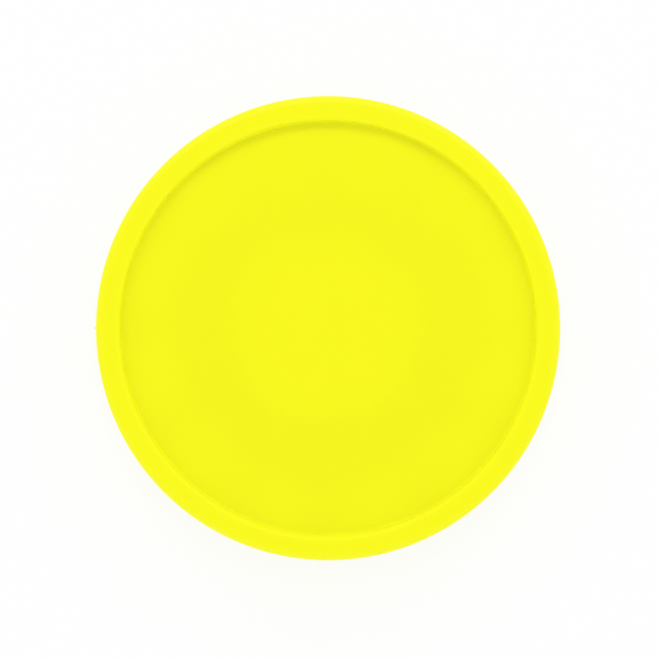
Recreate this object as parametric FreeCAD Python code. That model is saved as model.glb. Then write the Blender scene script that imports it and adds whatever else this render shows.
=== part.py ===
import FreeCAD, Part
import math
import os

# A round raised pavement marker without reflectors: a moulded plastic body with a
# raised rim and a recessed flat face, filled with sand-filled epoxy, with a gritted
# underside, a butyl adhesive pad and a two-piece release liner below it.
# All lengths are in millimetres and all angles in degrees.
# The origin is on the centre line, on the underside of the release liner.
# +Z points up, away from the road, and -X points at the mark of the moulding gate.

# Moulded body, outside
BASE_DIAMETER = 101.6
BODY_HEIGHT = 18.0
SIDE_DRAFT = 0.75
OUTER_EDGE_ROUNDING = 1.7
BASE_EDGE_ROUNDING = 0.4

# Recessed face inside the raised rim
RECESS_DIAMETER = 90.9
RECESS_DEPTH = 2.5
RECESS_DRAFT = 6.0
RIM_LIP_ROUNDING = 1.05
FACE_CORNER_ROUNDING = 0.45

# Moulded body, inside
FACE_THICKNESS = 2.8
SKIRT_THICKNESS = 2.6
ROOF_ROUNDING = 0.8
KEYING_BEAD_DEPTH = 0.6
KEYING_BEAD_RISE = 1.4
RIB_FOOT_CLEARANCE = 4.0
HUB_RIB_RADIUS = 17.5
RING_RIB_RADIUS = 33.0
RING_RIB_THICKNESS = 2.0
SPOKE_RIB_COUNT = 12
SPOKE_RIB_THICKNESS = 1.8
RIB_ROOT = 0.8

# Mark left by the moulding gate on the skirt
GATE_MARK_PROUD = 0.45
GATE_MARK_WIDTH = 0.6
GATE_MARK_HEIGHT = 0.8

# Layers under the body
GRIT_THICKNESS = 0.6
PAD_DIAMETER = 88.9
PAD_THICKNESS = 3.2
PAD_EDGE_ROUNDING = 0.4
LINER_DIAMETER = 92.0
LINER_THICKNESS = 0.2
LINER_SLIT = 0.3

# Heights above the origin
PAD_UNDERSIDE = LINER_THICKNESS
BODY_BASE = PAD_UNDERSIDE + PAD_THICKNESS
GRIT_TOP = BODY_BASE + GRIT_THICKNESS
RIM_TOP = BODY_BASE + BODY_HEIGHT
FACE_LEVEL = RIM_TOP - RECESS_DEPTH
ROOF_LEVEL = FACE_LEVEL - FACE_THICKNESS
RIB_FOOT = BODY_BASE + RIB_FOOT_CLEARANCE

BASE_RADIUS = BASE_DIAMETER / 2
RECESS_RADIUS = RECESS_DIAMETER / 2
UP = FreeCAD.Vector(0, 0, 1)


def side_radius(height):
    """Radius of the drafted outer side at a height above the origin."""
    return BASE_RADIUS - (height - BODY_BASE) * math.tan(math.radians(SIDE_DRAFT))


def skirt_inner_radius(height):
    """Radius of the inside of the skirt, which keeps one thickness all the way up."""
    return side_radius(height) - SKIRT_THICKNESS


def corner_arc(before, corner, after, rounding):
    """Start, middle and end of the arc that rounds one corner of an outline."""
    to_before = (before - corner).normalize()
    to_after = (after - corner).normalize()
    half_angle = to_before.getAngle(to_after) / 2
    reach = rounding / math.tan(half_angle)
    towards_centre = (to_before + to_after).normalize()
    middle = corner + towards_centre * (rounding / math.sin(half_angle) - rounding)
    return corner + to_before * reach, middle, corner + to_after * reach


def turned(corners):
    """Solid turned about the centre line from (radius, height, rounding) corners."""
    points = [FreeCAD.Vector(radius, 0, height) for radius, height, rounding in corners]
    arcs = []
    for index, (radius, height, rounding) in enumerate(corners):
        after = points[(index + 1) % len(points)]
        if rounding > 0:
            arcs.append(corner_arc(points[index - 1], points[index], after, rounding))
        else:
            arcs.append((points[index], None, points[index]))
    edges = []
    for index, (start, middle, end) in enumerate(arcs):
        if middle is not None:
            edges.append(Part.Arc(start, middle, end).toShape())
        next_start = arcs[(index + 1) % len(arcs)][0]
        edges.append(Part.LineSegment(end, next_start).toShape())
    outline = Part.Face(Part.Wire(edges))
    return outline.revolve(FreeCAD.Vector(), UP, 360)


def disc(radius, bottom, top):
    """Plain round plate between two heights."""
    return Part.makeCylinder(radius, top - bottom, FreeCAD.Vector(0, 0, bottom), UP)


def outer_form():
    """The body as if it were solid: drafted side, rounded rim and recessed face."""
    face_corner_radius = RECESS_RADIUS - RECESS_DEPTH * math.tan(math.radians(RECESS_DRAFT))
    return turned([
        (0, BODY_BASE, 0),
        (BASE_RADIUS, BODY_BASE, BASE_EDGE_ROUNDING),
        (side_radius(RIM_TOP), RIM_TOP, OUTER_EDGE_ROUNDING),
        (RECESS_RADIUS, RIM_TOP, RIM_LIP_ROUNDING),
        (face_corner_radius, FACE_LEVEL, FACE_CORNER_ROUNDING),
        (0, FACE_LEVEL, 0),
    ])


def cavity_form():
    """The hollow under the face, with the bead that keys the filling into the skirt."""
    bead_start = BODY_BASE + KEYING_BEAD_RISE
    bead_crest = bead_start + KEYING_BEAD_DEPTH
    bead_end = bead_crest + KEYING_BEAD_DEPTH
    return turned([
        (0, BODY_BASE, 0),
        (skirt_inner_radius(BODY_BASE), BODY_BASE, 0),
        (skirt_inner_radius(bead_start), bead_start, 0),
        (skirt_inner_radius(bead_crest) - KEYING_BEAD_DEPTH, bead_crest, 0),
        (skirt_inner_radius(bead_end), bead_end, 0),
        (skirt_inner_radius(ROOF_LEVEL), ROOF_LEVEL, ROOF_ROUNDING),
        (0, ROOF_LEVEL, 0),
    ])


def ring_rib(radius):
    """Circular stiffener that hangs from the roof of the cavity."""
    rib_top = ROOF_LEVEL + RIB_ROOT
    outside = disc(radius + RING_RIB_THICKNESS / 2, RIB_FOOT, rib_top)
    inside = disc(radius - RING_RIB_THICKNESS / 2, RIB_FOOT, rib_top)
    return outside.cut(inside)


def spoke_rib(angle):
    """Radial stiffener from the outer ring rib into the skirt."""
    start = RING_RIB_RADIUS
    end = skirt_inner_radius(ROOF_LEVEL) + RIB_ROOT
    corner = FreeCAD.Vector(start, -SPOKE_RIB_THICKNESS / 2, RIB_FOOT)
    rib = Part.makeBox(end - start, SPOKE_RIB_THICKNESS, ROOF_LEVEL + RIB_ROOT - RIB_FOOT, corner)
    rib.rotate(FreeCAD.Vector(), UP, angle)
    return rib


def stiffeners():
    """The two ring ribs, and the spoke ribs between the outer ring and the skirt."""
    spoke_step = 360 / SPOKE_RIB_COUNT
    ribs = [ring_rib(radius) for radius in (HUB_RIB_RADIUS, RING_RIB_RADIUS)]
    ribs += [spoke_rib((index + 0.5) * spoke_step) for index in range(SPOKE_RIB_COUNT)]
    return ribs


def gate_mark():
    """Small stub left on the skirt where the moulding gate was cut off."""
    length = SKIRT_THICKNESS / 2 + GATE_MARK_PROUD
    bottom = BODY_BASE + BASE_EDGE_ROUNDING
    corner = FreeCAD.Vector(-BASE_RADIUS - GATE_MARK_PROUD, -GATE_MARK_WIDTH / 2, bottom)
    return Part.makeBox(length, GATE_MARK_WIDTH, GATE_MARK_HEIGHT, corner)


def marker_shell(cavity):
    """Moulded plastic body."""
    hollow_body = outer_form().cut(cavity)
    return hollow_body.fuse(stiffeners() + [gate_mark()]).removeSplitter()


def grit_layer(cavity):
    """Sand that covers the underside of the filling, flush with the skirt's edge."""
    return cavity.common(disc(BASE_RADIUS, BODY_BASE, GRIT_TOP))


def potting_core(cavity, shell, grit):
    """Sand-filled epoxy that fills the body around its stiffeners."""
    return cavity.cut(grit).cut(shell)


def butyl_pad():
    """Adhesive pad that holds the marker to the road."""
    radius = PAD_DIAMETER / 2
    return turned([
        (0, PAD_UNDERSIDE, 0),
        (radius, PAD_UNDERSIDE, PAD_EDGE_ROUNDING),
        (radius, BODY_BASE, PAD_EDGE_ROUNDING),
        (0, BODY_BASE, 0),
    ])


def release_liner_half(turn):
    """Half of the paper that covers the pad; it lies on -X until it is turned."""
    radius = LINER_DIAMETER / 2
    near_side = FreeCAD.Vector(-radius - LINER_SLIT / 2, -radius, 0)
    half_box = Part.makeBox(radius, LINER_DIAMETER, LINER_THICKNESS, near_side)
    half = disc(radius, 0, LINER_THICKNESS).common(half_box)
    half.rotate(FreeCAD.Vector(), UP, turn)
    return half


def all_parts():
    """Every piece of the marker by its name."""
    cavity = cavity_form()
    shell = marker_shell(cavity)
    grit = grit_layer(cavity)
    return {
        "marker_shell": shell,
        "potting_core": potting_core(cavity, shell, grit),
        "grit_layer": grit,
        "butyl_pad": butyl_pad(),
        "release_liner_left": release_liner_half(0),
        "release_liner_right": release_liner_half(180),
    }


os.makedirs("parts", exist_ok=True)
for name, shape in all_parts().items():
    shape.exportStep(f"parts/{name}.step")
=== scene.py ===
import math
import random

import bmesh
import bpy
from mathutils import Matrix, Vector, noise


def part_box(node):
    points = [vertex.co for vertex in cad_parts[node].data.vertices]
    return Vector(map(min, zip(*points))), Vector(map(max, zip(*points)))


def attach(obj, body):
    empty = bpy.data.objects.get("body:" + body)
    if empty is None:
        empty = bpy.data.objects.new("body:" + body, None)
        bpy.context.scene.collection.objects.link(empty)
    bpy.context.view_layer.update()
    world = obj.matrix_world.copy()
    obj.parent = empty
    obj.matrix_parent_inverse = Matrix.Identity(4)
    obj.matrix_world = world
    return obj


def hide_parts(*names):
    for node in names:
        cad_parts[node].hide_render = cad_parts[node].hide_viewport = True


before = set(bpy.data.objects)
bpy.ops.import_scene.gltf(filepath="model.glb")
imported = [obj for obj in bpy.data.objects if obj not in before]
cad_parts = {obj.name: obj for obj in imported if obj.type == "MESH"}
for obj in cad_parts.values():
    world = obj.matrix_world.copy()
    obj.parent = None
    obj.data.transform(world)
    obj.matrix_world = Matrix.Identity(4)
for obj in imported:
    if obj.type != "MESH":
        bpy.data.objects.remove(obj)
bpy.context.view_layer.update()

# Visual model of a round raised pavement marker. Lengths are in metres, in the frame of the CAD
# model: +Z up, the release liner's underside at zero, the moulding gate's mark on -X.

MM = 0.001

# Places that the frame gives
shell_low, shell_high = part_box("marker_shell")
core_low, core_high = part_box("potting_core")
grit_low, grit_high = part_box("grit_layer")
pad_low, pad_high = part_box("butyl_pad")
liner_low, liner_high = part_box("release_liner_right")

BASE_RADIUS = shell_high.x
BODY_BASE = shell_low.z
RIM_TOP = shell_high.z
ROOF_LEVEL = core_high.z
GATE_MARK_PROUD = -shell_low.x - shell_high.x
PAD_RADIUS = pad_high.x
LINER_RADIUS = liner_high.x
LINER_THICKNESS = liner_high.z
LINER_SLIT_HALF = liner_low.x

# The moulded body, as the CAD model has it
SIDE_DRAFT = math.radians(0.75)
OUTER_EDGE_ROUNDING = 1.7 * MM
BASE_EDGE_ROUNDING = 0.4 * MM
RECESS_RADIUS = 45.45 * MM
RECESS_DRAFT = math.radians(6.0)
RIM_LIP_ROUNDING = 1.05 * MM
FACE_CORNER_ROUNDING = 0.45 * MM
FACE_THICKNESS = 2.8 * MM
SKIRT_THICKNESS = 2.6 * MM
ROOF_ROUNDING = 0.8 * MM
KEYING_BEAD_DEPTH = 0.6 * MM
KEYING_BEAD_RISE = 1.4 * MM
RIB_FOOT = BODY_BASE + 4.0 * MM
HUB_RIB_RADIUS = 17.5 * MM
RING_RIB_RADIUS = 33.0 * MM
RING_RIB_THICKNESS = 2.0 * MM
SPOKE_RIB_COUNT = 12
SPOKE_RIB_THICKNESS = 1.8 * MM
RIB_ROOT = 0.8 * MM
PARTING_LINE_RISE = BASE_EDGE_ROUNDING + 0.4 * MM
PARTING_LINE_HALF = 0.12 * MM
PARTING_LINE_PROUD = 0.05 * MM
GATE_MARK_WIDTH = 0.6 * MM
GATE_MARK_HEIGHT = 0.8 * MM
GATE_MARK_ROUNDING = 0.12 * MM

FACE_LEVEL = ROOF_LEVEL + FACE_THICKNESS
SPOKE_STEP = 2 * math.pi / SPOKE_RIB_COUNT

# The moulded face's sink marks and slow warp, which die out towards the wall
SINK_DEPTH = 0.018 * MM
RING_SINK_WIDTH = 1.8 * MM
SPOKE_SINK_WIDTH = 1.6 * MM
WARP_DEPTH = 0.03 * MM
WARP_SIZE = 16 * MM
WALL_CLEARANCE = 2 * MM
WALL_FADE = 3 * MM
FLATNESS_LIMIT = 0.01 * MM

# The pad's cut edge, which bulges and waves a little
PAD_EDGE_ROUNDING = 0.45 * MM
PAD_EDGE_INSET = 0.25 * MM
PAD_BULGE = 0.22 * MM
PAD_WAVES = ((0.10 * MM, 7 * MM), (0.05 * MM, 1.6 * MM))

# The liner's overhang, which lifts in slow waves
LINER_LIFT = 0.2 * MM
LINER_WAVE_SIZE = 13 * MM

# The sand that shows around the pad
RESIN_FILM_RISE = 0.12 * MM
GRAIN_SIZE = (0.16 * MM, 0.34 * MM)
GRAIN_BAND = (PAD_RADIUS - 0.6 * MM, grit_high.x - 0.15 * MM)
GRAIN_RISE = 0.14 * MM
GRAIN_SPACING = 0.8
GRAIN_STRETCH = (0.7, 1.25)
GRAIN_JITTER = (0.82, 1.15)
GRAIN_TRIES = 9000
GRAIN_SEED = 7

# How finely shapes are divided
TURNED_SEGMENTS = 360
RIB_SEGMENTS = 180
ARC_STEPS = 14
FACE_RINGS = 42
PAD_EDGE_STEPS = 10
LINER_ROWS = 120
LINER_COLUMNS = 46
MERGE_DISTANCE = 0.002 * MM


# ---------------------------------------------------------------------------------------------
# Mesh building
# ---------------------------------------------------------------------------------------------


def polar(radius, angle, height):
    """Point at a radius and angle about the centre line."""
    return Vector((radius * math.cos(angle), radius * math.sin(angle), height))


def arc_points(corner, before, after, rounding):
    """Points of the arc that rounds a corner between two directions."""
    half_angle = before.angle(after) / 2
    reach = rounding / math.tan(half_angle)
    centre = corner + (before + after).normalized() * (rounding / math.sin(half_angle))
    start = corner + before * reach - centre
    sweep = start.angle_signed(corner + after * reach - centre)
    turns = [Matrix.Rotation(-sweep * step / ARC_STEPS, 2) for step in range(ARC_STEPS + 1)]
    return [centre + turn @ start for turn in turns]


def rounded_outline(corners):
    """(radius, height) points along an open outline of (radius, height, rounding) corners."""
    points = []
    for index, (radius, height, rounding) in enumerate(corners):
        corner = Vector((radius, height))
        if rounding == 0:
            points.append(corner)
            continue
        before = (Vector(corners[index - 1][:2]) - corner).normalized()
        after = (Vector(corners[index + 1][:2]) - corner).normalized()
        points += arc_points(corner, before, after, rounding)
    return points


def between(start, end, count):
    """Points that divide the run from start to end, without its ends."""
    return [start.lerp(end, step / count) for step in range(1, count)]


def ring_points(build, radius, height, segments):
    """Points round the centre line, or one point on it where the radius is zero."""
    count = segments if radius > 0 else 1
    return [build.verts.new(polar(radius, 2 * math.pi * index / count, height)) for index in range(count)]


def join_rings(build, rings):
    """Faces between each ring of points and the next; a ring can be a single point."""
    for ring, next_ring in zip(rings, rings[1:]):
        segments = max(len(ring), len(next_ring))
        for index in range(segments):
            after = (index + 1) % segments
            corners = (
                ring[index % len(ring)],
                next_ring[index % len(next_ring)],
                next_ring[after % len(next_ring)],
                ring[after % len(ring)],
            )
            build.faces.new(dict.fromkeys(corners))


def turned(name, outline):
    """Mesh object turned about the centre line from points that start and end on it."""
    build = bmesh.new()
    join_rings(build, [ring_points(build, radius, height, TURNED_SEGMENTS) for radius, height in outline])
    return finished(name, build)


def finished(name, build):
    """Object from a bmesh, with its faces turned outwards."""
    bmesh.ops.recalc_face_normals(build, faces=build.faces)
    mesh = bpy.data.meshes.new(name)
    build.to_mesh(mesh)
    build.free()
    piece = bpy.data.objects.new(name, mesh)
    bpy.context.scene.collection.objects.link(piece)
    return piece


def smooth(piece, sharp_angle=math.radians(40)):
    """Smooth shading, with edges sharper than an angle kept crisp."""
    piece.data.shade_smooth()
    piece.data.set_sharp_from_angle(angle=sharp_angle)
    return piece


def boxed(name, low, high, rounding):
    """Box between two corners with rounded edges."""
    build = bmesh.new()
    bmesh.ops.create_cube(build, size=1)
    size = high - low
    bmesh.ops.scale(build, vec=size, verts=build.verts)
    bmesh.ops.translate(build, vec=(low + high) / 2, verts=build.verts)
    if rounding > 0:
        bmesh.ops.bevel(build, geom=build.edges[:], offset=rounding, segments=3, affect="EDGES")
    return finished(name, build)


def merged(piece, addition):
    """The piece after a boolean union with another object, which is used up."""
    modifier = piece.modifiers.new("merge", "BOOLEAN")
    modifier.operation = "UNION"
    modifier.solver = "MANIFOLD"
    modifier.object = addition
    scene_state = bpy.context.evaluated_depsgraph_get()
    mesh = bpy.data.meshes.new_from_object(piece.evaluated_get(scene_state))
    piece.modifiers.clear()
    piece.data = mesh
    bpy.data.objects.remove(addition)
    return piece


# ---------------------------------------------------------------------------------------------
# Materials
# ---------------------------------------------------------------------------------------------


class Graph:
    """A node tree, with a short call for each kind of node that is used here."""

    def __init__(self, tree, coordinates):
        self.tree = tree
        self.place = self.node("ShaderNodeTexCoord").outputs[coordinates]

    def node(self, kind, **settings):
        node = self.tree.nodes.new(kind)
        for key, value in settings.items():
            setattr(node, key, value)
        return node

    def feed(self, socket, value):
        if isinstance(value, bpy.types.NodeSocket):
            self.tree.links.new(value, socket)
        else:
            socket.default_value = value

    def math(self, operation, *values):
        node = self.node("ShaderNodeMath", operation=operation)
        for socket, value in zip(node.inputs, values):
            self.feed(socket, value)
        return node.outputs["Value"]

    def total(self, value, *others):
        """Sum of values."""
        for other in others:
            value = self.math("ADD", value, other)
        return value

    def swing(self, value, width):
        """Noise stretched to a band of one width about zero."""
        return self.math("MULTIPLY_ADD", value, width, -width / 2)

    def ease(self, value, start, end, low, high):
        """Smooth step from low at start to high at end."""
        node = self.node("ShaderNodeMapRange", interpolation_type="SMOOTHSTEP")
        for name, setting in zip(
            ("Value", "From Min", "From Max", "To Min", "To Max"), (value, start, end, low, high)
        ):
            self.feed(node.inputs[name], setting)
        return node.outputs["Result"]

    def scaled_place(self, scale):
        """The place with each axis stretched by its own factor."""
        node = self.node("ShaderNodeVectorMath", operation="MULTIPLY")
        self.feed(node.inputs[0], self.place)
        self.feed(node.inputs[1], scale)
        return node.outputs["Vector"]

    def noise(self, size, detail, place=None):
        """Noise from 0 to 1 whose features are about one size across."""
        node = self.node("ShaderNodeTexNoise")
        self.feed(node.inputs["Vector"], place or self.place)
        self.feed(node.inputs["Scale"], 1 / size)
        self.feed(node.inputs["Detail"], detail)
        return node.outputs["Fac"]

    def cells(self, size):
        """Distance to the middle of cells of about one size."""
        node = self.node("ShaderNodeTexVoronoi")
        self.feed(node.inputs["Vector"], self.place)
        self.feed(node.inputs["Scale"], 1 / size)
        return node.outputs["Distance"]

    def mix(self, share, low, high):
        """Colour between two colours."""
        node = self.node("ShaderNodeMix", data_type="RGBA")
        self.feed(node.inputs["Factor"], share)
        self.feed(node.inputs["A"], low)
        self.feed(node.inputs["B"], high)
        return node.outputs["Result"]

    def dimmed(self, color, tone):
        """Colour times a tone."""
        node = self.node("ShaderNodeVectorMath", operation="SCALE")
        self.feed(node.inputs["Vector"], color)
        self.feed(node.inputs["Scale"], tone)
        return node.outputs["Vector"]

    def radius(self):
        """Distance from the centre line."""
        flat = self.scaled_place((1, 1, 0))
        node = self.node("ShaderNodeVectorMath", operation="LENGTH")
        self.feed(node.inputs[0], flat)
        return node.outputs["Value"]

    def along(self, axis):
        """Place along an axis."""
        split = self.node("ShaderNodeSeparateXYZ")
        self.feed(split.inputs[0], self.place)
        return split.outputs[axis]

    def angle(self):
        """Angle about the centre line."""
        return self.math("ARCTAN2", self.along("Y"), self.along("X"))

    def bump(self, height, depth, under=None):
        """Bends the normal as if the surface stood out by height times depth."""
        node = self.node("ShaderNodeBump")
        self.feed(node.inputs["Height"], height)
        self.feed(node.inputs["Distance"], depth)
        if under is not None:
            self.feed(node.inputs["Normal"], under)
        return node.outputs["Normal"]


class MaterialGraph(Graph):
    """A material's nodes, which end in its shader."""

    def __init__(self, name, roughness, specular):
        self.material = bpy.data.materials.new(name)
        self.material.use_nodes = True
        super().__init__(self.material.node_tree, "Object")
        self.shader = self.tree.nodes["Principled BSDF"]
        self.shader.inputs["Roughness"].default_value = roughness
        self.shader.inputs["Specular IOR Level"].default_value = specular

    def done(self, color, roughness=None, normal=None):
        self.feed(self.shader.inputs["Base Color"], color)
        if roughness is not None:
            self.feed(self.shader.inputs["Roughness"], roughness)
        if normal is not None:
            self.feed(self.shader.inputs["Normal"], normal)
        return self.material


# The body's colour, its tone on the face, what each feature adds to that tone, and the painted shade on
# the gate stub and the outer wall
BODY_YELLOW = (0.92, 0.92, 0.0015)
FACE_TONE = 0.925
HUB_TONE = 0.052
HUB_FADE = (13 * MM, 24 * MM)
SPOKE_TONE = 0.026
SPOKE_FADE = (29 * MM, 38 * MM)
SPOKE_SHARE = 0.25
FADE_WAVER = 9 * MM
WAVER_SIZE = 24 * MM
CLOUD_TONE = 0.02
TEXTURE_TONE = 0.05
TEXTURE_HEIGHT = 0.012 * MM
# Painted shade: the gate stub beyond the base's outline is coloured darker, standing in for the shade on
# its end
GATE_STUB_SHADE_TONE = -0.16
GATE_STUB_SHADE_DEPTH = 0.15 * MM
# Painted shade: the upright outer wall is darker than the top, fading out under the outer edge's rounding
SIDE_SHADE_TONE = -0.035
SIDE_SHADE_FADE = (RIM_TOP - 3 * MM, RIM_TOP - OUTER_EDGE_ROUNDING)

# How far light runs inside the plastic, and the share of that for each colour
LIGHT_REACH = 0.8 * MM
LIGHT_REACH_BY_COLOR = (1.0, 1.0, 0.2)


def face_and_rim_tone(graph, radius):
    """Tone of the face, lighter over the hub and the spoke ribs, and full on the rim."""
    wavering = graph.total(radius, graph.swing(graph.noise(WAVER_SIZE, 2), FADE_WAVER))
    hub = graph.ease(wavering, *HUB_FADE, HUB_TONE, 0.0)
    outer = graph.ease(wavering, *SPOKE_FADE, 0.0, SPOKE_TONE)
    turns = graph.math("COSINE", graph.math("MULTIPLY_ADD", graph.angle(), SPOKE_RIB_COUNT, math.pi))
    spokes = graph.math("MULTIPLY_ADD", turns, SPOKE_SHARE, 1 - SPOKE_SHARE)
    face = graph.total(hub, graph.math("MULTIPLY", outer, spokes), FACE_TONE)
    on_rim = graph.ease(radius, RECESS_RADIUS - RIM_LIP_ROUNDING, RECESS_RADIUS, 0.0, 1.0)
    return graph.total(face, graph.math("MULTIPLY", graph.math("SUBTRACT", 1.0, face), on_rim))


def side_painted_shade(graph, radius):
    """Painted shade: the upright outer wall is darker than the top, fading out under the outer edge's
    rounding.
    """
    on_side = graph.ease(graph.along("Z"), *SIDE_SHADE_FADE, SIDE_SHADE_TONE, 0.0)
    outside = graph.math("GREATER_THAN", radius, BASE_RADIUS - SKIRT_THICKNESS)
    return graph.math("MULTIPLY", on_side, outside)


def body_plastic():
    """Fluorescent yellow plastic with a fine spark-eroded texture.

    The face is a shade darker than the rim, and lighter over the middle and in twelve spokes towards the
    wall. Painted shade darkens the gate stub and the upright outer wall."""
    graph = MaterialGraph("body_plastic", roughness=0.46, specular=0.25)
    graph.shader.inputs["Subsurface Weight"].default_value = 1.0
    graph.shader.inputs["Subsurface Radius"].default_value = LIGHT_REACH_BY_COLOR
    graph.shader.inputs["Subsurface Scale"].default_value = LIGHT_REACH
    radius = graph.radius()
    grain = graph.noise(0.42 * MM, 2)
    clouds = graph.swing(graph.noise(9 * MM, 3), CLOUD_TONE)
    speckle = graph.swing(grain, TEXTURE_TONE)
    # Painted shade on the gate stub, which stands out beyond the base's outline
    gate_stub_shade = graph.ease(graph.along("X"), -BASE_RADIUS - GATE_STUB_SHADE_DEPTH, -BASE_RADIUS, GATE_STUB_SHADE_TONE, 0.0)
    # Clouds and speckle are the plastic's own tone; the gate stub and outer wall terms are painted shade
    marks_and_painted_shade = graph.total(clouds, speckle, gate_stub_shade, side_painted_shade(graph, radius))
    color = graph.dimmed(BODY_YELLOW, graph.total(face_and_rim_tone(graph, radius), marks_and_painted_shade))
    roughness = graph.math("MULTIPLY_ADD", graph.noise(3 * MM, 3), 0.10, 0.41)
    return graph.done(color, roughness, graph.bump(grain, TEXTURE_HEIGHT))


def epoxy_filling():
    """Grey-brown resin full of sand."""
    dark_resin = (0.16, 0.14, 0.11, 1)
    pale_resin = (0.30, 0.27, 0.21, 1)
    sand_color = (0.46, 0.40, 0.30, 1)
    graph = MaterialGraph("epoxy_filling", roughness=0.7, specular=0.35)
    sand = graph.ease(graph.cells(0.7 * MM), 0.25, 0.55, 1.0, 0.0)
    resin = graph.mix(graph.noise(2.5 * MM, 3), dark_resin, pale_resin)
    color = graph.mix(graph.math("MULTIPLY", sand, 0.55), resin, sand_color)
    return graph.done(color, normal=graph.bump(sand, 0.12 * MM))


def silica_grit():
    """Quartz sand, each grain its own shade, in a film of resin."""
    brown_grain = (0.30, 0.21, 0.12, 1)
    pale_grain = (0.72, 0.64, 0.50, 1)
    stain = (0.52, 0.44, 0.33, 1)
    graph = MaterialGraph("silica_grit", roughness=0.55, specular=0.5)
    island = graph.node("ShaderNodeNewGeometry").outputs["Random Per Island"]
    shade = graph.mix(graph.ease(island, 0.15, 0.9, 0.0, 1.0), brown_grain, pale_grain)
    color = graph.mix(graph.math("MULTIPLY", graph.noise(0.25 * MM, 3), 0.45), shade, stain)
    return graph.done(color, normal=graph.bump(graph.noise(0.12 * MM, 3), 0.02 * MM))


def butyl_mastic():
    """Black rubbery mastic, dull and tacky, with a little dust on it."""
    black = (0.010, 0.010, 0.011, 1)
    worn_black = (0.022, 0.022, 0.024, 1)
    dust_color = (0.09, 0.088, 0.085, 1)
    graph = MaterialGraph("butyl_mastic", roughness=0.5, specular=0.45)
    dust = graph.ease(graph.noise(0.5 * MM, 4), 0.62, 0.72, 0.0, 0.5)
    shade = graph.mix(graph.noise(6 * MM, 3), black, worn_black)
    color = graph.mix(dust, shade, dust_color)
    roughness = graph.math("MULTIPLY_ADD", graph.noise(2 * MM, 3), 0.30, 0.34)
    lumps = graph.bump(graph.noise(2.2 * MM, 4), 0.12 * MM)
    blade_marks = graph.noise(0.5 * MM, 3, graph.scaled_place((1.0, 1.0, 0.06)))
    return graph.done(color, roughness, graph.bump(blade_marks, 0.08 * MM, lumps))


def liner_paper():
    """Silicone-coated release paper with faint fibres."""
    tan = (0.59, 0.49, 0.34, 1)
    pale_tan = (0.65, 0.55, 0.39, 1)
    speck_color = (0.42, 0.31, 0.19, 1)
    graph = MaterialGraph("liner_paper", roughness=0.42, specular=0.4)
    fibres = graph.noise(0.5 * MM, 4, graph.scaled_place((1.0, 0.45, 1.0)))
    cross_fibres = graph.noise(0.5 * MM, 4, graph.scaled_place((0.45, 1.0, 1.0)))
    weave = graph.math("MULTIPLY", fibres, cross_fibres)
    shade = graph.mix(graph.ease(weave, 0.15, 0.35, 0.0, 1.0), tan, pale_tan)
    specks = graph.ease(graph.noise(0.35 * MM, 5), 0.68, 0.76, 0.0, 0.6)
    color = graph.mix(specks, shade, speck_color)
    roughness = graph.math("MULTIPLY_ADD", graph.noise(12 * MM, 3), 0.2, 0.32)
    return graph.done(color, roughness, graph.bump(weave, 0.012 * MM))


def studio_floor():
    """Pale floor that glows a little, so that it stays white under the marker's soft shade."""
    graph = MaterialGraph("studio_floor", roughness=1.0, specular=0.0)
    graph.shader.inputs["Emission Color"].default_value = (1, 1, 1, 1)
    graph.shader.inputs["Emission Strength"].default_value = 0.66
    return graph.done((0.5, 0.5, 0.5, 1))


# ---------------------------------------------------------------------------------------------
# The moulded body
# ---------------------------------------------------------------------------------------------


def side_radius(height):
    """Radius of the drafted outer side."""
    return BASE_RADIUS - (height - BODY_BASE) * math.tan(SIDE_DRAFT)


def skirt_inner_radius(height):
    """Radius of the inside of the skirt."""
    return side_radius(height) - SKIRT_THICKNESS


def body_outline():
    """Outline of the body's section, from the middle of the face round to the roof's middle."""
    face_corner = Vector((RECESS_RADIUS - (RIM_TOP - FACE_LEVEL) * math.tan(RECESS_DRAFT), FACE_LEVEL))
    parting = BODY_BASE + PARTING_LINE_RISE
    parting_top = parting + PARTING_LINE_HALF
    parting_bottom = parting - PARTING_LINE_HALF
    bead_start = BODY_BASE + KEYING_BEAD_RISE
    bead_crest = bead_start + KEYING_BEAD_DEPTH
    bead_end = bead_crest + KEYING_BEAD_DEPTH
    outline = rounded_outline([
        (0, FACE_LEVEL, 0),
        (*face_corner, FACE_CORNER_ROUNDING),
        (RECESS_RADIUS, RIM_TOP, RIM_LIP_ROUNDING),
        (side_radius(RIM_TOP), RIM_TOP, OUTER_EDGE_ROUNDING),
        (side_radius(parting_top), parting_top, 0),
        (side_radius(parting) + PARTING_LINE_PROUD, parting, 0),
        (side_radius(parting_bottom), parting_bottom, 0),
        (BASE_RADIUS, BODY_BASE, BASE_EDGE_ROUNDING),
        (skirt_inner_radius(BODY_BASE), BODY_BASE, 0),
        (skirt_inner_radius(bead_start), bead_start, 0),
        (skirt_inner_radius(bead_crest) - KEYING_BEAD_DEPTH, bead_crest, 0),
        (skirt_inner_radius(bead_end), bead_end, 0),
        (skirt_inner_radius(ROOF_LEVEL), ROOF_LEVEL, ROOF_ROUNDING),
        (0, ROOF_LEVEL, 0),
    ])
    return outline[:1] + between(outline[0], outline[1], FACE_RINGS) + outline[1:]


def sink(distance, width):
    """Share of a sink mark's depth at a distance from the middle of the rib behind it."""
    return math.exp(-((distance / width) ** 2))


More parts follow.
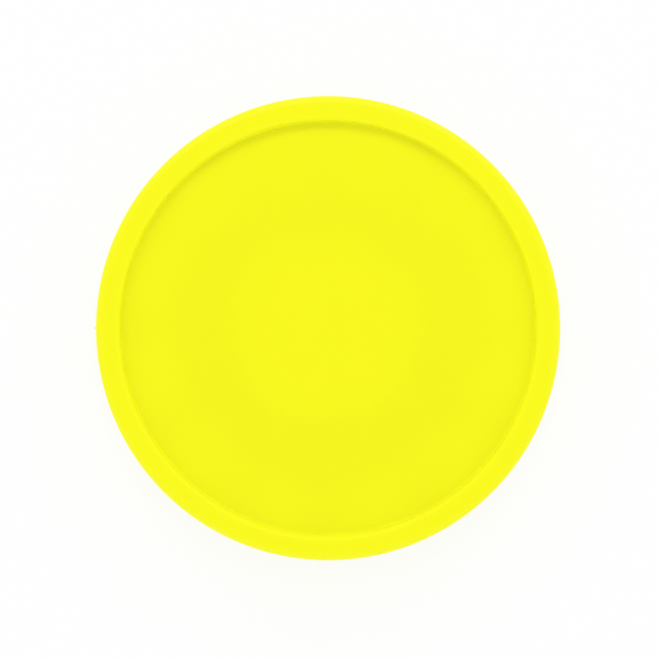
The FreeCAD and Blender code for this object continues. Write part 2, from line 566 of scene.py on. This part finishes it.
def face_dip(radius, angle):
    """How far the face lies below its plane: sink marks over the ribs, and a slow warp."""
    ring_radii = (HUB_RIB_RADIUS, RING_RIB_RADIUS)
    rings = sum(sink(radius - ring_radius, RING_SINK_WIDTH) for ring_radius in ring_radii)
    off_spoke = ((angle / SPOKE_STEP) % 1 - 0.5) * SPOKE_STEP * radius
    spokes = sink(off_spoke, SPOKE_SINK_WIDTH) if radius > RING_RIB_RADIUS else 0
    warp = noise.noise(polar(radius, angle, 0) / WARP_SIZE)
    near_wall = min(1, max(0, (RECESS_RADIUS - WALL_CLEARANCE - radius) / WALL_FADE))
    return (SINK_DEPTH * max(rings, spokes) + WARP_DEPTH * warp) * near_wall


def dip_face(body):
    """Moves the face's points down by the sink marks and the warp."""
    for point in body.data.vertices:
        place = point.co
        radius = math.hypot(place.x, place.y)
        if abs(place.z - FACE_LEVEL) < FLATNESS_LIMIT and radius < RECESS_RADIUS:
            place.z -= face_dip(radius, math.atan2(place.y, place.x) % (2 * math.pi))


def ring_rib(radius):
    """Circular stiffener under the face."""
    inner = radius - RING_RIB_THICKNESS / 2
    outer = radius + RING_RIB_THICKNESS / 2
    top = ROOF_LEVEL + RIB_ROOT
    build = bmesh.new()
    section = ((inner, RIB_FOOT), (outer, RIB_FOOT), (outer, top), (inner, top))
    rings = [ring_points(build, *corner, RIB_SEGMENTS) for corner in section]
    join_rings(build, rings + rings[:1])
    return finished("ring_rib", build)


def spoke_rib(angle):
    """Radial stiffener from the outer ring rib into the skirt."""
    half = SPOKE_RIB_THICKNESS / 2
    end = skirt_inner_radius(ROOF_LEVEL) + RIB_ROOT
    rib = boxed(
        "spoke_rib",
        Vector((RING_RIB_RADIUS, -half, RIB_FOOT)),
        Vector((end, half, ROOF_LEVEL + RIB_ROOT)),
        rounding=0,
    )
    rib.data.transform(Matrix.Rotation(angle, 4, "Z"))
    return rib


def gate_mark():
    """Stub left where the moulding gate was cut off, with rounded edges."""
    bottom = BODY_BASE + BASE_EDGE_ROUNDING
    return boxed(
        "gate_mark",
        Vector((-BASE_RADIUS - GATE_MARK_PROUD, -GATE_MARK_WIDTH / 2, bottom)),
        Vector((-BASE_RADIUS + SKIRT_THICKNESS / 2, GATE_MARK_WIDTH / 2, bottom + GATE_MARK_HEIGHT)),
        rounding=GATE_MARK_ROUNDING,
    )


def marker_body():
    """The moulded body with its ribs and gate mark, as one closed mesh."""
    body = turned("marker_body", body_outline())
    dip_face(body)
    additions = [ring_rib(radius) for radius in (HUB_RIB_RADIUS, RING_RIB_RADIUS)]
    additions += [spoke_rib((index + 0.5) * SPOKE_STEP) for index in range(SPOKE_RIB_COUNT)]
    additions.append(gate_mark())
    for addition in additions:
        merged(body, addition)
    body.data.materials.clear()
    body.data.materials.append(body_plastic())
    return smooth(body)


# ---------------------------------------------------------------------------------------------
# The layers under the body
# ---------------------------------------------------------------------------------------------


def grit_bed():
    """Film of resin that holds the sand."""
    edge = grit_high.x
    film = grit_low.z + RESIN_FILM_RISE
    return smooth(turned("grit_bed", [(0, film), (edge, film), (edge, grit_high.z), (0, grit_high.z)]))


def grain_places():
    """Places and radii of grains between the pad's edge and the skirt, none too close."""
    pick = random.Random(GRAIN_SEED)
    inner, outer = GRAIN_BAND
    cell = 2 * GRAIN_SIZE[1]
    taken = {}
    places = []
    for _ in range(GRAIN_TRIES):
        radius = math.sqrt(pick.uniform(inner**2, outer**2))
        angle = pick.uniform(0, 2 * math.pi)
        size = pick.uniform(*GRAIN_SIZE)
        spot = polar(radius, angle, grit_low.z + pick.uniform(0.0, GRAIN_RISE))
        key = (int(spot.x // cell), int(spot.y // cell))
        near = [
            other
            for step_x in (-1, 0, 1)
            for step_y in (-1, 0, 1)
            for other in taken.get((key[0] + step_x, key[1] + step_y), [])
        ]
        if any((spot - place).length < GRAIN_SPACING * (size + other_size) for place, other_size in near):
            continue
        taken.setdefault(key, []).append((spot, size))
        places.append((spot, size))
    return places


def grain_form():
    """Points and faces of a twenty-sided solid of radius one."""
    build = bmesh.new()
    bmesh.ops.create_icosphere(build, subdivisions=1, radius=1)
    points = [point.co.copy() for point in build.verts]
    faces = [[point.index for point in face.verts] for face in build.faces]
    build.free()
    return points, faces


def grain_points(pick, form, spot, size):
    """Points of one grain: the form squashed, turned and jittered."""
    angle = pick.uniform(0, 2 * math.pi)
    turn = Matrix.Rotation(angle, 3, Vector([pick.gauss(0, 1) for _ in range(3)]))
    stretch = Matrix.Diagonal([size * pick.uniform(*GRAIN_STRETCH) for _ in range(3)])
    return [spot + turn @ (stretch @ point) * pick.uniform(*GRAIN_JITTER) for point in form]


def sand_grains():
    """Angular sand grains, all in one mesh."""
    pick = random.Random(GRAIN_SEED + 1)
    form, form_faces = grain_form()
    points = []
    faces = []
    for spot, size in grain_places():
        faces += [[len(points) + index for index in face] for face in form_faces]
        points += grain_points(pick, form, spot, size)
    mesh = bpy.data.meshes.new("sand_grains")
    mesh.from_pydata(points, [], faces)
    grains = bpy.data.objects.new("sand_grains", mesh)
    bpy.context.scene.collection.objects.link(grains)
    return grains


def grit_pieces():
    """The resin film and the sand that shows around the pad."""
    material = silica_grit()
    pieces = [grit_bed(), sand_grains()]
    for piece in pieces:
        piece.data.materials.append(material)
    return pieces


def pad_outline(edge):
    """Outline of the pad's section, from the middle of its underside to the middle of its top."""
    outline = rounded_outline([
        (0, pad_low.z, 0),
        (edge, pad_low.z, PAD_EDGE_ROUNDING),
        (edge, pad_high.z, PAD_EDGE_ROUNDING),
        (0, pad_high.z, 0),
    ])
    upright = len(outline) // 2
    side = between(outline[upright - 1], outline[upright], PAD_EDGE_STEPS)
    return outline[:upright] + side + outline[upright:]


def edge_swell(place):
    """How far the pad's cut edge stands out at a place on it."""
    middle = (pad_low.z + pad_high.z) / 2
    half_height = (pad_high.z - pad_low.z) / 2
    bulge = PAD_BULGE * (1 - ((place.z - middle) / half_height) ** 2)
    return bulge + sum(height * noise.noise(place / size) for height, size in PAD_WAVES)


def butyl_pad():
    """Die-cut mastic pad whose cut edge bulges and waves a little."""
    edge = PAD_RADIUS - PAD_EDGE_INSET
    pad = turned("adhesive_pad", pad_outline(edge))
    for point in pad.data.vertices:
        place = point.co
        radius = math.hypot(place.x, place.y)
        if radius < edge - 2 * PAD_EDGE_ROUNDING:
            continue
        stretch = (radius + edge_swell(place)) / radius
        place.x *= stretch
        place.y *= stretch
    pad.data.materials.append(butyl_mastic())
    return smooth(pad)


def liner_spot(side, row, column):
    """Place of a grid point on a half of the liner: across, along and lift."""
    turn = -math.pi / 2 + math.pi * row / LINER_ROWS
    reach = LINER_RADIUS * math.cos(turn) - LINER_SLIT_HALF
    share = 1 - (1 - column / LINER_COLUMNS) ** 2
    x = side * max(LINER_SLIT_HALF, LINER_SLIT_HALF + reach * share)
    y = LINER_RADIUS * math.sin(turn)
    over = max(0.0, math.hypot(x, y) - PAD_RADIUS) / (LINER_RADIUS - PAD_RADIUS)
    wave = 0.5 + noise.noise(Vector((x, y, side)) / LINER_WAVE_SIZE)
    return x, y, LINER_LIFT * over**2 * max(0.0, wave)


def liner_grid(build, side, level):
    """Grid of points on one surface of a half of the liner."""
    grid = []
    for row in range(LINER_ROWS + 1):
        spots = [liner_spot(side, row, column) for column in range(LINER_COLUMNS + 1)]
        grid.append([build.verts.new((x, y, level + lift)) for x, y, lift in spots])
    return grid


def grid_rim(grid):
    """Points round the edge of a grid, in order."""
    first_column = [row[0] for row in grid[:-1]]
    last_column = [row[-1] for row in grid[:0:-1]]
    return first_column + grid[-1][:-1] + last_column + grid[0][:0:-1]


def liner_half(name, side):
    """One D-shaped half of the release paper; side is -1 for left and 1 for right.

    It lies flat under the pad, and the overhang beyond the pad's edge curls up a little."""
    build = bmesh.new()
    grids = [liner_grid(build, side, level) for level in (0.0, LINER_THICKNESS)]
    for grid in grids:
        for row, next_row in zip(grid, grid[1:]):
            for column in range(LINER_COLUMNS):
                after = column + 1
                build.faces.new((row[column], row[after], next_row[after], next_row[column]))
    join_rings(build, [grid_rim(grid) for grid in grids])
    bmesh.ops.remove_doubles(build, verts=build.verts, dist=MERGE_DISTANCE)
    return finished(name, build)


def liner_pieces():
    """Both halves of the release paper."""
    material = liner_paper()
    halves = {"left": liner_half("liner_left", -1), "right": liner_half("liner_right", 1)}
    for half in halves.values():
        half.data.materials.append(material)
        smooth(half, math.radians(50))
    return halves


# ---------------------------------------------------------------------------------------------
# Put together
# ---------------------------------------------------------------------------------------------


def stand_in(piece, node):
    """The piece moves with the marker and stands for a CAD node."""
    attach(piece, "root")
    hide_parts(node)


stand_in(marker_body(), "marker_shell")
for piece in grit_pieces():
    stand_in(piece, "grit_layer")
stand_in(butyl_pad(), "butyl_pad")
for side, piece in liner_pieces().items():
    stand_in(piece, f"release_liner_{side}")

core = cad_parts["potting_core"]
core.data.materials.clear()
core.data.materials.append(epoxy_filling())


# ---------------------------------------------------------------------------------------------
# Studio: floor, light and camera
# ---------------------------------------------------------------------------------------------

FLOOR_HALF = 8.0

# Brightness of the surroundings, and the parts of a unit direction where it changes
DOME_LIGHT = 1.30
HORIZON_LIGHT = 0.3
HORIZON_END = 0.42
FRONT_LIGHT = 1.55
FRONT_SPREAD = (-0.95, -0.35)
ZENITH_LIGHT = 0.42
ZENITH_START = 0.62
ZENITH_END = 0.98
GROUND_LIGHT = 1.22
GROUND_EDGE = (-0.01, -0.002)

# Strip of light beyond the marker's +Y side
KEY_LIGHT = 4.87
KEY_ELEVATION = math.radians(42)
KEY_DISTANCE = 1.2
KEY_WIDTH = 2.0
KEY_HEIGHT = 0.17

# Camera, and the share of the picture's width that the marker's outline takes
LENS = 500
SENSOR = 36
OBJECT_SHARE = 0.7039
OFF_CENTRE = Vector((0.41, -0.39)) * MM

# Light in the scene against light in the picture, where the camera's response bends
FULL_WHITE = 1.6
SHOULDER = ((0.4, 0.4), (0.75, 0.75), (0.9, 0.882), (1.0, 0.95), (1.12, 0.985), (1.3, 0.997))


def floor():
    """Level floor under the liner."""
    build = bmesh.new()
    corners = ((-1, -1), (1, -1), (1, 1), (-1, 1))
    build.faces.new([build.verts.new((x * FLOOR_HALF, y * FLOOR_HALF, 0)) for x, y in corners])
    plane = finished("studio_floor", build)
    plane.data.materials.append(studio_floor())


def dome_light():
    """White surroundings, dimmer low down except in front, and dimmer straight overhead.

    Below the horizon they are as bright as the floor, so that its far edge doesn't show."""
    world = bpy.data.worlds.new("studio")
    world.use_nodes = True
    graph = Graph(world.node_tree, "Generated")
    height = graph.along("Z")
    low_light = graph.ease(graph.along("Y"), *FRONT_SPREAD, FRONT_LIGHT, HORIZON_LIGHT)
    from_horizon = graph.ease(height, 0.0, HORIZON_END, low_light, DOME_LIGHT)
    to_zenith = graph.ease(height, ZENITH_START, ZENITH_END, 1.0, ZENITH_LIGHT / DOME_LIGHT)
    sky = graph.math("MULTIPLY", from_horizon, to_zenith)
    ground = graph.ease(height, *GROUND_EDGE, GROUND_LIGHT, 0.0)
    background = world.node_tree.nodes["Background"]
    background.inputs["Color"].default_value = (1, 1, 1, 1)
    graph.feed(background.inputs["Strength"], graph.math("MAXIMUM", sky, ground))
    bpy.context.scene.world = world


def key_light():
    """Wide low strip of light from +Y, its brightness in the dome light's units."""
    lamp = bpy.data.lights.new("key", "AREA")
    lamp.shape = "RECTANGLE"
    lamp.size = KEY_WIDTH
    lamp.size_y = KEY_HEIGHT
    lamp.energy = KEY_LIGHT * math.pi * KEY_WIDTH * KEY_HEIGHT
    holder = bpy.data.objects.new("key", lamp)
    bpy.context.scene.collection.objects.link(holder)
    target = Vector((0, 0, RIM_TOP))
    away = Vector((0, math.cos(KEY_ELEVATION), math.sin(KEY_ELEVATION)))
    holder.location = target + away * KEY_DISTANCE
    holder.rotation_euler = (-away).to_track_quat("-Z", "Y").to_euler()


def camera():
    """Long lens straight above the marker."""
    lens = bpy.data.cameras.new("camera")
    lens.lens = LENS
    lens.sensor_width = SENSOR
    lens.clip_end = 100
    holder = bpy.data.objects.new("camera", lens)
    bpy.context.scene.collection.objects.link(holder)
    edge_level = RIM_TOP - OUTER_EDGE_ROUNDING
    view_width = 2 * side_radius(edge_level) / OBJECT_SHARE
    holder.location = (OFF_CENTRE.x, OFF_CENTRE.y, edge_level + view_width / SENSOR * LENS)
    bpy.context.scene.camera = holder


def tone_curve():
    """A camera's response: straight in the shadows, and a soft shoulder below full white."""
    view = bpy.context.scene.view_settings
    view.view_transform = "Standard"
    view.use_curve_mapping = True
    mapping = view.curve_mapping
    mapping.white_level = (FULL_WHITE, FULL_WHITE, FULL_WHITE)
    response = mapping.curves[3].points
    for light, shown in SHOULDER:
        response.new(light / FULL_WHITE, shown)
    mapping.update()


floor()
dome_light()
key_light()
camera()
tone_curve()
